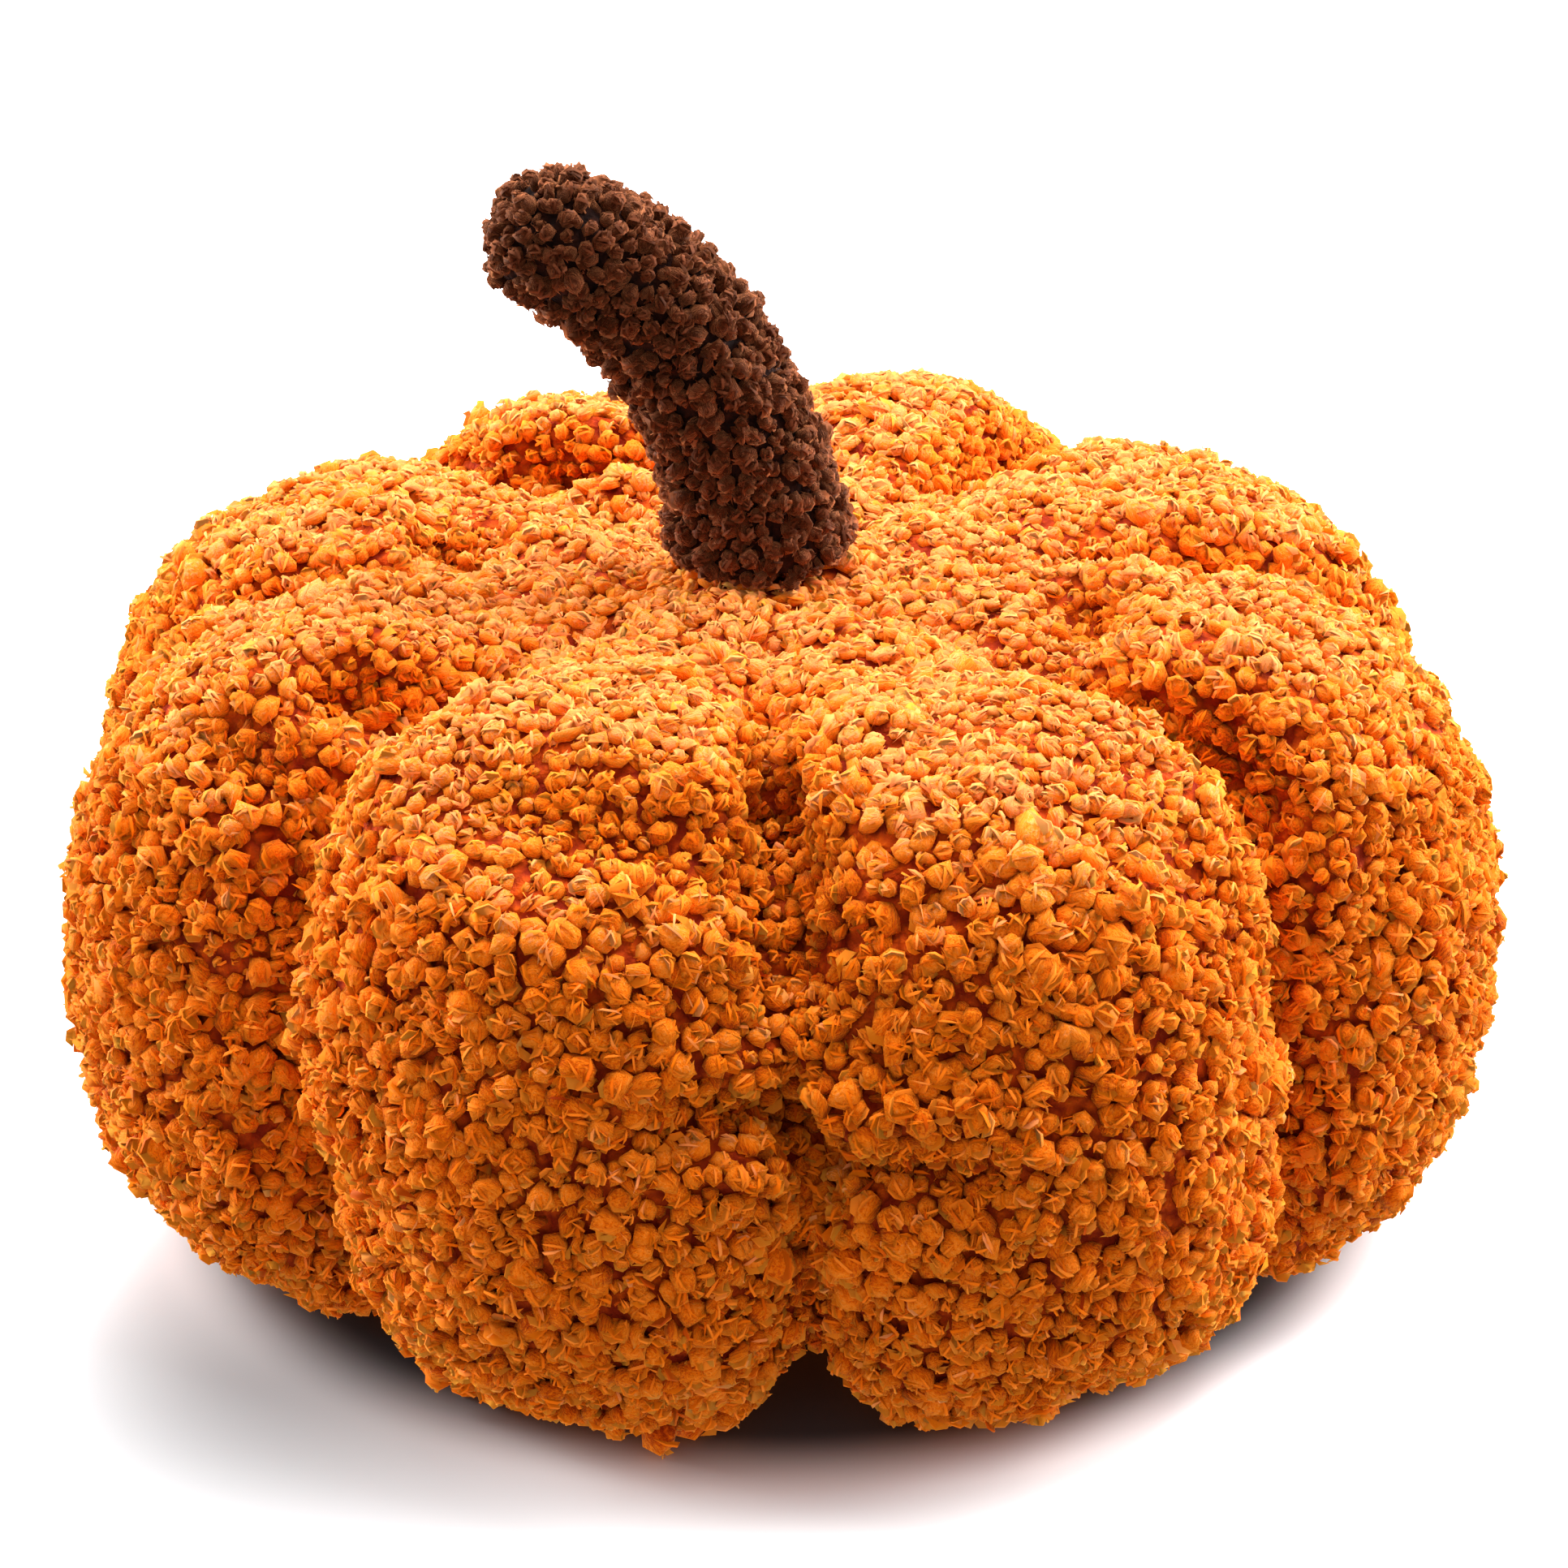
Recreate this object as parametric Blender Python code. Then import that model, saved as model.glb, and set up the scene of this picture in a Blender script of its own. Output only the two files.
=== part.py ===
"""Pumpkin cushion: one filled, eight-lobed body and the stuffed, bent stem sewn to its top.

Metres, +Z up. The origin lies on the surface that the cushion rests on, under the middle of its box.
The front is -Y, where the channel between two lobes faces the viewer. The solids reach to the tips
of the curled pile.
"""

import math
from collections import namedtuple

import bmesh
import bpy
from mathutils import Vector

# Driving sizes
RADIUS = 0.176  # from the middle to the fullest part of a lobe
HEIGHT = 0.165  # to the crown of the lobes
STEM_RISE = 0.100  # the length that the stem's middle line is laid out with
STEM_RADIUS = 0.0225  # at the seam with the body
SEAM_GAP = 0.0003  # between the stem's base and the body

# Mesh steps
STEPS_ACROSS_LOBE = 12
STEPS_BETWEEN_SECTIONS = 3
STEM_STEPS = 5
STEM_SIDES_RESOLUTION = 6
LOBE_ROUNDNESS = 2.2  # 2 is an ellipse from channel to channel, and more is boxier

# One row for each height of the body, as shares of RADIUS and HEIGHT: the middle of a lobe and the
# bottom of the sewn channel beside it
Section = namedtuple("Section", "name crest_r crest_z channel_r channel_z")
SECTIONS = (
    Section("seat", 0.147, 0.964, 0.147, 0.964),
    Section("seat_edge", 0.200, 0.965, 0.200, 0.964),
    Section("dish", 0.340, 0.975, 0.325, 0.958),
    Section("shoulder", 0.545, 1.000, 0.490, 0.930),
    Section("crown", 0.750, 0.975, 0.640, 0.858),
    Section("brow", 0.903, 0.855, 0.745, 0.736),
    Section("upper_side", 0.982, 0.660, 0.790, 0.572),
    Section("side", 1.000, 0.440, 0.800, 0.412),
    Section("lower_side", 0.962, 0.216, 0.780, 0.240),
    Section("heel", 0.862, 0.048, 0.712, 0.096),
    Section("foot", 0.668, -0.014, 0.560, 0.044),
    Section("sole", 0.400, -0.004, 0.360, 0.046),
    Section("gather", 0.140, 0.050, 0.140, 0.054),
)
SEAT = SECTIONS[0]
SHOULDER = SECTIONS[3]

# One row for each lobe, going round from the front left one: the direction of the channel at its
# start, at the crown and at the foot, in degrees from +X, and its reach and height as shares of
# the mean
Lobe = namedtuple("Lobe", "name channel_top channel_foot reach crown")
LOBES = (
    Lobe("front_left", 222.5, 228.5, 1.000, 1.000),
    Lobe("front_right", 270.0, 272.5, 1.000, 1.000),
    Lobe("right", 317.0, 318.5, 0.990, 1.000),
    Lobe("right_back", 364.0, 365.0, 0.980, 0.995),
    Lobe("back_right", 414.5, 411.0, 0.980, 1.020),
    Lobe("back_left", 456.0, 453.0, 0.985, 1.005),
    Lobe("left_back", 495.0, 497.0, 1.010, 0.990),
    Lobe("left", 542.0, 544.0, 1.012, 1.000),
)
TURN = 360.0

SEAT_OFFSET_X = -0.006  # the channels meet at the stem, a little to the left of the middle

# One row for each point of the stem's middle line: its place from the seat as shares of STEM_RISE,
# and its thickness as a share of STEM_RADIUS
StemPoint = namedtuple("StemPoint", "name x y z thickness")
STEM_LINE = (
    StemPoint("base", 0.000, 0.000, 0.000, 1.00),
    StemPoint("hem", 0.000, 0.000, 0.040, 1.00),
    StemPoint("neck", -0.020, -0.010, 0.190, 0.96),
    StemPoint("trunk", -0.090, -0.030, 0.400, 0.92),
    StemPoint("bend", -0.190, -0.060, 0.595, 0.88),
    StemPoint("arm", -0.325, -0.090, 0.745, 0.83),
    StemPoint("wrist", -0.435, -0.110, 0.815, 0.79),
    StemPoint("tip", -0.505, -0.125, 0.845, 0.75),
)
STEM_END_LENGTH = 0.60  # the round end's length as a share of the tip's radius
STEM_END_STEPS = (0.30, 0.58, 0.80, 0.94)

BODY_COLOUR = (0.80, 0.265, 0.020, 1.0)
STEM_COLOUR = (0.075, 0.026, 0.016, 1.0)
CLOTH_ROUGHNESS = 0.95
SHARP_ANGLE = math.radians(50)
CUTTER_WIDTH = 0.6
CUTTER_DEPTH = 0.05


def clear_scene():
    for item in list(bpy.data.objects):
        bpy.data.objects.remove(item)


def new_collection(name):
    collection = bpy.data.collections.new(name)
    bpy.context.scene.collection.children.link(collection)
    return collection


def cloth_material(name, colour):
    material = bpy.data.materials.new(name)
    material.use_nodes = True
    shader = material.node_tree.nodes["Principled BSDF"]
    shader.inputs["Base Color"].default_value = colour
    shader.inputs["Roughness"].default_value = CLOTH_ROUGHNESS
    shader.inputs["Metallic"].default_value = 0.0
    return material


def smooth_rows(rows, steps):
    """Catmull-Rom curve through rows of numbers, with steps pieces between two rows."""

    def mix(a, b, c, d, t):
        square = (2 * a - 5 * b + 4 * c - d) * t**2
        cube = (3 * b - a - 3 * c + d) * t**3
        return 0.5 * (2 * b + (c - a) * t + square + cube)

    first = [2 * p - q for p, q in zip(rows[0], rows[1])]
    last = [2 * p - q for p, q in zip(rows[-1], rows[-2])]
    padded = [first, *rows, last]
    curve = []
    for index in range(len(rows) - 1):
        for step in range(steps):
            near = zip(*padded[index : index + 4])
            curve.append([mix(*values, step / steps) for values in near])
    curve.append(list(rows[-1]))
    return curve


def blend(low, high, share):
    return low + (high - low) * share


def ease(share):
    """0 to 1, level at both ends."""
    share = min(1.0, max(0.0, share))
    return share * share * (3 - 2 * share)


def lobe_span(index, height_share):
    """Directions in degrees of the two channels beside a lobe, at a share of the height."""
    lobe, following = LOBES[index], LOBES[(index + 1) % len(LOBES)]
    wrap = TURN if index == len(LOBES) - 1 else 0.0
    start = blend(lobe.channel_foot, lobe.channel_top, height_share)
    end = blend(following.channel_foot, following.channel_top, height_share) + wrap
    return start, end


def body_ring(crest_r, crest_z, channel_r, channel_z):
    """Points once round the body at one level, from the shares of one row of the sections."""
    ring = []
    up = ease(crest_z)
    full = ease((crest_r - SEAT.crest_r) / (SHOULDER.crest_r - SEAT.crest_r))
    for index, lobe in enumerate(LOBES):
        start, end = lobe_span(index, up)
        reach = blend(1.0, lobe.reach, full)
        crown = blend(1.0, lobe.crown, full * up)
        for step in range(STEPS_ACROSS_LOBE):
            across = math.sin(math.pi * (step / STEPS_ACROSS_LOBE - 0.5))
            rise = (1 - abs(across) ** LOBE_ROUNDNESS) ** (1 / LOBE_ROUNDNESS)
            radius = RADIUS * blend(channel_r, crest_r * reach, rise)
            height = HEIGHT * blend(channel_z, crest_z * crown, rise)
            angle = math.radians(blend(start, end, (across + 1) / 2))
            x = radius * math.cos(angle) + SEAT_OFFSET_X * up * (1 - crest_r)
            ring.append(Vector((x, radius * math.sin(angle), height)))
    return ring


def loft(name, rings):
    """Closed mesh through rings of points, given from the top down, counted anticlockwise."""
    mesh = bpy.data.meshes.new(name)
    shape = bmesh.new()
    rows = [[shape.verts.new(point) for point in ring] for ring in rings]
    count = len(rings[0])
    for upper, lower in zip(rows, rows[1:]):
        for index in range(count):
            after = (index + 1) % count
            shape.faces.new((upper[index], lower[index], lower[after], upper[after]))
    shape.faces.new(rows[0])
    shape.faces.new(reversed(rows[-1]))
    shape.to_mesh(mesh)
    shape.free()
    return mesh


def place(name, data, material, collection):
    item = bpy.data.objects.new(name, data)
    item.data.materials.append(material)
    collection.objects.link(item)
    return item


def press_flat(body, cutters):
    """Cuts the feet of the lobes level where they rest."""
    bpy.ops.mesh.primitive_cube_add(size=1, location=(0, 0, -CUTTER_DEPTH / 2))
    floor = bpy.context.object
    floor.name = "surface_cutter"
    floor.scale = (CUTTER_WIDTH, CUTTER_WIDTH, CUTTER_DEPTH)
    for owner in list(floor.users_collection):
        owner.objects.unlink(floor)
    cutters.objects.link(floor)
    floor.hide_render = True
    floor.display_type = "WIRE"
    cut = body.modifiers.new("level_feet", "BOOLEAN")
    cut.operation = "DIFFERENCE"
    cut.object = floor


def make_body(collection, cutters):
    shares = smooth_rows([list(section[1:]) for section in SECTIONS], STEPS_BETWEEN_SECTIONS)
    mesh = loft("pumpkin_body", [body_ring(*row) for row in shares])
    body = place("pumpkin_body", mesh, cloth_material("orange_teddy_cloth", BODY_COLOUR), collection)
    press_flat(body, cutters)
    mesh.shade_smooth()
    mesh.set_sharp_from_angle(angle=SHARP_ANGLE)
    return body


def make_stem(collection):
    seat = Vector((SEAT_OFFSET_X, 0.0, HEIGHT * SEAT.crest_z + SEAM_GAP))
    base, *rest = [list(point[1:]) for point in STEM_LINE]
    rows = [base, *smooth_rows(rest, STEM_STEPS)]
    points = [(seat + STEM_RISE * Vector(row[:3]), STEM_RADIUS * row[3]) for row in rows]
    (before, _), (tip, tip_radius) = points[-2], points[-1]
    onward = (tip - before).normalized()
    for share in STEM_END_STEPS:
        ahead = tip + onward * tip_radius * STEM_END_LENGTH * share
        points.append((ahead, tip_radius * math.sqrt(1 - share**2)))

    line = bpy.data.curves.new("stem", "CURVE")
    line.dimensions = "3D"
    line.bevel_depth = STEM_RADIUS
    line.bevel_resolution = STEM_SIDES_RESOLUTION
    line.use_fill_caps = True
    line.twist_mode = "MINIMUM"
    spline = line.splines.new("POLY")
    spline.points.add(len(points) - 1)
    for control, (point, radius) in zip(spline.points, points):
        control.co = (*point, 1.0)
        control.radius = radius / STEM_RADIUS
    spline.use_smooth = True
    return place("stem", line, cloth_material("brown_teddy_cloth", STEM_COLOUR), collection)


def centre_on_origin(body, stem):
    """Moves the cushion so that the middle of the body's box is over the origin."""
    bpy.context.view_layer.update()
    shown = body.evaluated_get(bpy.context.evaluated_depsgraph_get())
    corners = [body.matrix_world @ Vector(corner) for corner in shown.bound_box]
    for axis in (0, 1):
        low = min(corner[axis] for corner in corners)
        high = max(corner[axis] for corner in corners)
        body.location[axis] -= (low + high) / 2
    stem.parent = body


def main():
    clear_scene()
    collection = new_collection("pumpkin_cushion")
    cutters = new_collection("cutters")
    body = make_body(collection, cutters)
    stem = make_stem(collection)
    centre_on_origin(body, stem)


main()
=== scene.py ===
"""Looks of the pumpkin cushion: stuffed cloth under a curled pile, lit in a pale studio.

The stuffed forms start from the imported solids, are swelled as cloth that is sewn down along the
channels, and carry a pile of closed curls, one piece for each lobe. Metres, +Z up, front at -Y.
"""

import math
from collections import namedtuple

import bmesh
import bpy
import numpy as np
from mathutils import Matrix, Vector
from mathutils.bvhtree import BVHTree
from mathutils.kdtree import KDTree


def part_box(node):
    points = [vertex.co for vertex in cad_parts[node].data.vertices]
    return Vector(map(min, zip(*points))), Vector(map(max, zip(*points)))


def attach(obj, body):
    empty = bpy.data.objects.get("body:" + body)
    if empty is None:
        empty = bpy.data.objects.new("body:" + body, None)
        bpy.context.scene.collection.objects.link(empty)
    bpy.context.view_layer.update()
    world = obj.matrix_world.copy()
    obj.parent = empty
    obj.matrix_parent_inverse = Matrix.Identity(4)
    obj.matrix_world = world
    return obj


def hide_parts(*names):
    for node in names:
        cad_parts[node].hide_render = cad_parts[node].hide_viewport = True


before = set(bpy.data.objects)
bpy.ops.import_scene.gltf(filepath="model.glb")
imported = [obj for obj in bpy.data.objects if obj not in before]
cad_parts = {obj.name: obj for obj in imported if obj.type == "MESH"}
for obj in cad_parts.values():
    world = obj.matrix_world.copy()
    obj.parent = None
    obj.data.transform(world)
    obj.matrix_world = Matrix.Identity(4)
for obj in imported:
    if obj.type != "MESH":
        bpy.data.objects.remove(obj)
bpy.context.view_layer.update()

# Camera: the picture is square, and its field of view and place give the photograph's perspective
PICTURE = 1932
CAMERA_ELEVATION = math.radians(24.5)
CAMERA_DISTANCE = 1.130
CAMERA_TARGET = Vector((0.001, 0.0, 0.101))
CAMERA_BACK = Vector((0, -math.cos(CAMERA_ELEVATION), math.sin(CAMERA_ELEVATION)))
CAMERA_UP = Vector((0, math.sin(CAMERA_ELEVATION), math.cos(CAMERA_ELEVATION)))
CAMERA_RIGHT = Vector((1, 0, 0))
SENSOR = 36.0
FOCAL_PIXELS = 5763
LENS = FOCAL_PIXELS / PICTURE * SENSOR

# Stuffed cloth
BODY_PILE_DEPTH = 0.0050  # from the tips of the pile down to the cloth
STEM_PILE_DEPTH = 0.0040
BODY_VOXEL = 0.0050
STEM_VOXEL = 0.0032
SWELL_ROOM = 0.0025  # the cloth starts this much smaller, and is swelled again
SWELL_LIMIT = 0.0060
CLOTH_GROWTH = 0.05  # the cloth is cut this much larger than its form, as a share
CLOTH_STIFFNESS = 15
CLOTH_PRESSURE = 4
CLOTH_FRAMES = 20
RESTING_BAND = 0.0040  # cloth this near the floor is held

# Sewn channels
CHANNEL_TURN = 0.0012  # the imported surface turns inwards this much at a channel's bottom
CHANNEL_LOWEST = 0.0040  # and the channels end this high
CHANNEL_REACH = 0.030  # points of one channel are nearer than this to each other
CHANNEL_STEPS = 6
SEAM_GRIP = 0.0050  # cloth this near a channel's bottom is held by its seam
SEAM_PULL = 0.0115  # the thread draws the cloth in this far along the channels
SEAM_PULL_WIDTH = 0.0080
SEAM_PULL_LEAST = 0.15  # the share of the pull that is left beside the stem
SEAM_PULL_START = 0.050  # from the stem outwards, where the pull begins and over what length
SEAM_PULL_RAMP = 0.060
SEAM_BULGE = 0.0028  # the filling swells up beside the thread
SEAM_BULGE_AT = 0.0230
SEAM_BULGE_WIDTH = 0.0120

# Ends of the stem's cloth
STEM_BASE_BAND = 0.0030
STEM_HEM = 0.0140  # the stem widens a little over this height above its seam
STEM_HEM_FLARE = 0.12
STEM_TIP_LENGTH = 0.040
STEM_TIP_REACH = 0.0025  # the stuffing pushes the tip out this much further

# Directions of the channels from +X in degrees, half way up, and the name of the lobe after each
CHANNELS = (
    (225.5, "front_left"),
    (271.0, "front_right"),
    (318.0, "right"),
    (364.5, "right_back"),
    (413.0, "back_right"),
    (454.5, "back_left"),
    (496.0, "left_back"),
    (543.0, "left"),
)
LOBE_CENTRE = (-0.004, 0.0)

# Creases of the cloth that show through the pile. Ends in pixels of the photograph, sizes in metres.
Crease = namedtuple("Crease", "name x0 y0 x1 y1 depth width")
CREASES = (
    Crease("left_of_front_seam", 998, 1372, 830, 1375, 0.0050, 0.0060),
    Crease("right_of_front_seam", 1015, 1432, 1207, 1460, 0.0050, 0.0060),
    Crease("front_pinch_low", 985, 1375, 1003, 1440, 0.0060, 0.0090),
    Crease("front_pinch_high", 955, 1195, 1046, 1143, 0.0012, 0.0090),
    Crease("front_pinch_top", 925, 1000, 985, 1015, 0.0040, 0.0080),
    Crease("under_front_left_ledge", 650, 995, 930, 1075, 0.0035, 0.0140),
    Crease("front_seam_top", 900, 877, 966, 905, 0.0025, 0.0080),
    Crease("left_lobe_dent", 306, 935, 360, 950, 0.0035, 0.0090),
    Crease("left_seam_pinch", 402, 853, 490, 880, 0.0050, 0.0080),
    Crease("right_seam_pinch", 1500, 940, 1540, 985, 0.0050, 0.0110),
    Crease("right_seam_start", 1325, 745, 1350, 775, 0.0060, 0.0080),
    Crease("behind_stem", 670, 583, 795, 566, 0.0070, 0.0070),
    Crease("back_left_dent", 550, 665, 590, 680, 0.0050, 0.0080),
    Crease("beside_stem", 725, 728, 815, 718, 0.0030, 0.0070),
)
CREASE_POINTS = 9
CREASE_DEPTH_SHARE = 1.8
CREASE_DEEPEST = 0.35  # the share of the way along where a crease is deepest
CREASE_FADING = 1.1  # how fast it gets shallower from there, between these two shares
CREASE_FULL = 1.25
CREASE_LEAST = 0.25
CREASE_RIM = 0.35  # height of the swelling beside a crease as a share of the depth
CREASE_RIM_AT = 2.1  # in widths of the crease
CREASE_RIM_SHARPNESS = 1.6

# Kinds of curl. Each is a closed form about 2 across and 1.3 high, standing on z = 0. A kind has a
# few variants, each with its share of the pile.
Knot = namedtuple("Knot", "name variants share tall waist sides")
KNOTS = (
    Knot("bead", 8, 0.065, (0.75, 1.00), None, 5),
    Knot("twin", 4, 0.045, (0.65, 0.85), (0.20, 0.35), 6),
)
KNOT_RINGS = 3
KNOT_PEAK = 0.93  # how far the ends of a knot reach, as a share of its height
KNOT_PLACE = 0.62
KNOT_LUMPS = ((0.13, 2.2), (0.12, 3.6))  # height and closeness of the lumps on a knot
KNOT_SWIRL = (1.2, 2.4)
WAIST_WIDTH = 0.35
WAIST_STRETCH = 0.45
Lock = namedtuple("Lock", "name variants share turns wide rise thick narrow steps")
LOCKS = (
    Lock("hook", 4, 0.040, (0.55, 0.75), 0.56, 1.05, 0.66, 0.85, 4),
    Lock("ring", 3, 0.035, (0.90, 1.10), 0.62, 0.95, 0.56, 0.70, 5),
)
LOCK_SIDES = 4
LOCK_DIP = 0.25  # the start of a lock is this much lower
LOCK_BOW = 0.62  # its line rises and sinks like this share of half a wave
LOCK_STRAY = 0.07
LOCK_ENDS = 0.55  # thickness and length of its ends as shares of the middle's thickness
LOCK_UNEVEN = (0.90, 1.10)
LOCK_TWIST = 2.4
NEARLY_UP = (0.13, 0.21, 0.97)  # no lock runs along this direction
CURL_SIZE_SPREAD = 0.15
CURL_SIZES = (0.65, 1.40)
CURL_STRETCH = (0.86, 1.16)

# Strands laid over the curls like bows. Lengths are shares of the curl's radius, angles in radians.
# The corners of a strand are its start, a pair at each bend, and its end.
Strand = namedtuple("Strand", "half_width bends faces")
TWO_BENDS = ((0, 1, 2), (1, 3, 4), (1, 4, 2), (5, 4, 3), (0, 5, 3), (0, 3, 1), (5, 0, 2), (5, 2, 4))
ONE_BEND = ((0, 1, 2), (3, 2, 1), (0, 3, 1), (3, 0, 2))
THICK_STRAND = Strand(0.00028, (-1 / 3, 1 / 3), TWO_BENDS)
FINE_STRAND = Strand(0.00011, (0.0,), ONE_BEND)
THICK_STRAND_REACH = 0.98
STRAND_LEAST_REACH = 0.80
STRAND_CENTRE = 0.6  # the height above the curl's place that the bows go round
STRAND_UPRIGHT = 0.85  # how much the bows' tops keep to the curl's axis, and are scattered round it
STRAND_SCATTER = 0.6
STRAND_ASTRAY = (0.2, 1.3)
STRAND_WIDTHS = (0.75, 1.30)
STRAND_HALF_TURN = (0.75, 1.25)
STRAND_RISE = (1.00, 1.12)
STRAND_TIP = 0.95  # a strand is as light as this height on a curl, with painted light on top and painted shade beside
STRAND_PAINTED_TOP_LIGHT = 0.45
STRAND_TIP_SPREAD = 0.28
STRAND_SHADE_SPREAD = 0.20
FIBRE_FIELD = 40  # width of the field of streaks that each curl and strand takes its own part of

# The pile on the body and the stem. Droop and lean are shares of a curl's height, fuzz is how far
# the ends of the fine strands reach in radii of the curl, and peak how far its knots are drawn out.
Pile = namedtuple("Pile", "seed radius spacing droop lean fuzz peak")
BODY_PILE = Pile(11, 0.0031, 0.0034, 0.10, 0.38, 1.20, KNOT_PEAK)
STEM_PILE = Pile(23, 0.0021, 0.0026, 0.0, 0.55, 1.40, 1.18)
SCATTER_TRIES = 14
NEAR_CURLS = 5

# Smooth unevenness of the pile: its height in metres or as a share, its length and its seed
Wave = namedtuple("Wave", "height length seed")
SPACING_WAVE = Wave(0.05, 0.045, 5)
HEIGHT_WAVE = Wave(0.0006, 0.016, 21)
SIZE_WAVE = Wave(0.06, 0.05, 8)
WAVES = 9
WAVE_LENGTHS = (0.7, 1.4)

# Where the pile differs from its mean
FLOOR_CLEARANCE = 0.0003
UNDER_STEM = 0.0150  # the body has no pile this near the stem's middle
UNDER_STEM_LOWEST = 0.1
UNDERSIDE_TOP = 0.012  # the pile gets thinner below this height
UNDERSIDE_RAMP = 0.008
UNDERSIDE_THINNER = 0.9
CLOSE_FROM = 0.125  # and closer above this one
CLOSE_RAMP = 0.03
CLOSE_SHARE = 0.09
MATTED_FROM = 0.70  # curls whose cloth faces up more than this are pressed lower
MATTED_RAMP = 0.25
MATTED_SHARE = 0.28
PAINTED_LIGHT_FROM = 0.40  # and those past this are lighter, as painted light
PAINTED_LIGHT_RAMP = 0.55
TOP_PAINTED_LIGHT = 2.8  # painted light: how much lighter the curls are that face up, in steps of one curl's own random tone
PINCHED_PAINTED_SHADE = 2.6  # and painted shade: how much darker they are deep in the seams and creases
PINCHED_SMALLER = 0.22
RESTING_PILE = 0.0080  # the pile below this height is pressed on the floor
BODY_STRANDS = 3
BODY_FINE_STRANDS = 2
PILE_UNEVEN = 0.0005  # how unevenly the curls stand
PILE_SINK = 0.0006  # and how deep they are set
STEM_STRANDS = 4
STEM_FINE_STRANDS = 5
STEM_TALL = 1.25
STEM_BARE = 0.0005  # no curls this near the stem's seam

# What moves a curl's colour along its ramp, painted light and shade among it, and where the ramp
# starts
# Painted light: surfaces that face up are lighter
COLOUR_UP_PAINTED_LIGHT = 0.10
# Painted shade: a curl is darker towards its root
COLOUR_ROOT_PAINTED_SHADE = 0.38
# A curl's own random tone, with painted light on top and painted shade in creases added to it
COLOUR_TONE_AND_PAINTED_LIGHT = 0.14
COLOUR_STREAKS = 1.5
COLOUR_PATCHES = 0.20
COLOUR_START = 0.86
STREAK_SCALE = 4.2
PATCH_SCALE = 55.0
PILE_BUMP = 0.0010
ORANGE_SHEEN = 0.45
BROWN_SHEEN = 0.65
SPECULAR_TINT = (1.0, 0.72, 0.48, 1.0)

# Colours from the root of a curl to its tip, and of the cloth between the curls
# Each ramp's low end is painted shade at the roots, and its pale top end a painted highlight
ORANGE_STOPS = (
    (0.00, (0.340, 0.024, 0.0002)),
    (0.22, (0.640, 0.080, 0.0004)),
    (0.50, (0.900, 0.185, 0.0015)),
    (0.78, (0.930, 0.245, 0.0180)),
    (1.00, (0.930, 0.310, 0.0900)),
)
BROWN_STOPS = (
    (0.00, (0.010, 0.0010, 0.0002)),
    (0.30, (0.026, 0.0032, 0.0005)),
    (0.60, (0.055, 0.0095, 0.0020)),
    (1.00, (0.185, 0.0520, 0.0220)),
)
# The cloth between the curls is toned darker than the curls, as painted shade of the gaps
ORANGE_GROUND_STOPS = (
    (0.00, (0.180, 0.010, 0.0001)),
    (0.45, (0.420, 0.045, 0.0002)),
    (1.00, (0.720, 0.110, 0.0005)),
)
BROWN_GROUND_STOPS = (
    (0.00, (0.006, 0.0012, 0.0005)),
    (1.00, (0.045, 0.0100, 0.0040)),
)
ORANGE_SHEEN_TINT = (1.0, 0.50, 0.06, 1.0)
BROWN_SHEEN_TINT = (0.85, 0.30, 0.12, 1.0)

# The cloth between the curls has flat curls of its own: their closeness and height, how they are
# stirred, and how their tone falls from the top of each to the gaps, as painted shade
ORANGE_GROUND_CURLS = (260.0, 0.0020)
BROWN_GROUND_CURLS = (330.0, 0.0015)
GROUND_STIR_SCALE = 300.0
GROUND_STIR = (0.004, 0.004, 0.004)
GROUND_SMOOTHNESS = 0.35
GROUND_GAP_PAINTED_SHADE = 1.1
GROUND_GRAIN = 0.45
GROUND_START = 0.42

# Studio
Softbox = namedtuple("Softbox", "name place width height power")
SOFTBOXES = (
    Softbox("softbox_above", (0.20, 0.38, 1.26), 1.5, 1.2, 58),
    Softbox("softbox_left", (-1.2, 0.35, 0.5), 0.8, 0.8, 42),
    Softbox("softbox_right", (1.2, 0.35, 0.5), 0.8, 0.8, 42),
)
LIT_POINT = Vector((0, 0, 0.08))
LIGHT_BELOW = (0.88, 0.84, 0.80)
LIGHT_ABOVE = (0.78, 0.78, 0.78)
FLOOR_SIZE = 14
# Near the object the floor carries a painted contact shadow, which fades out between these radii
FLOOR_PAINTED_SHADOW = (0.04, 0.045, 0.05)
FLOOR_AWAY = (0.88, 0.90, 0.92)
PAINTED_SHADOW_FADES = (0.130, 0.158)
# Away from the object the floor glows white, as painted light
FLOOR_TURNS_WHITE = (0.20, 0.75)
FLOOR_PAINTED_GLOW = (0.0, 0.9)
PAINTED_SHADOW_PLACE = (-0.118, -0.118, 0.0)  # a painted shadow, falling to the front left
PAINTED_SHADOW_SPREAD = (0.0, 0.132)
PAINTED_SHADOW_TONE = (0.34, 1.0)


# Small tools for meshes and places
def read_points(mesh):
    co = np.empty(len(mesh.vertices) * 3)
    mesh.vertices.foreach_get("co", co)
    return co.reshape(-1, 3)


def write_points(mesh, co):
    mesh.vertices.foreach_set("co", np.ascontiguousarray(co, dtype=np.float32).ravel())
    mesh.update()


def read_normals(mesh):
    normals = np.empty(len(mesh.vertices) * 3)
    mesh.vertices.foreach_get("normal", normals)
    return normals.reshape(-1, 3)


def read_triangles(mesh):
    mesh.calc_loop_triangles()
    corners = np.empty(len(mesh.loop_triangles) * 3, dtype=np.int32)
    mesh.loop_triangles.foreach_get("vertices", corners)
    return corners.reshape(-1, 3)


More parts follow.
